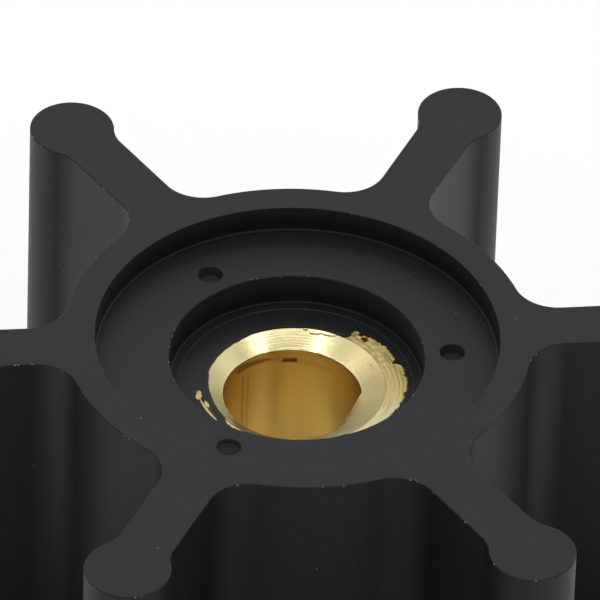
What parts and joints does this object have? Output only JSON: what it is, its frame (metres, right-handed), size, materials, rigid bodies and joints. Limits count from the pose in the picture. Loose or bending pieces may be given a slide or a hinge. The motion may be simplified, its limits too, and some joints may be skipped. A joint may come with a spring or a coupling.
{
  "type": "rubber pump impeller",
  "caption": "Round flexible rubber pump impeller with straight bulb-tipped blades, stepped recesses in both hub ends and a moulded-in brass bush with a D shaped bore.",
  "frame": {"origin": "on the shaft axis, at the lower end face of the rubber", "axes": "+Z along the shaft towards the end that carries the three pin marks, +X along the first blade"},
  "size_m": [0.0508, 0.0446, 0.0222],
  "materials": {
    "rubber": "matt moulded rubber, faintly bluish black",
    "brass": "turned brass, bright on the chamfer and darker in the bore"
  },
  "bodies": {
    "root": {"rubber_body": "rubber", "brass_bush": "brass"}
  },
  "joints": []
}
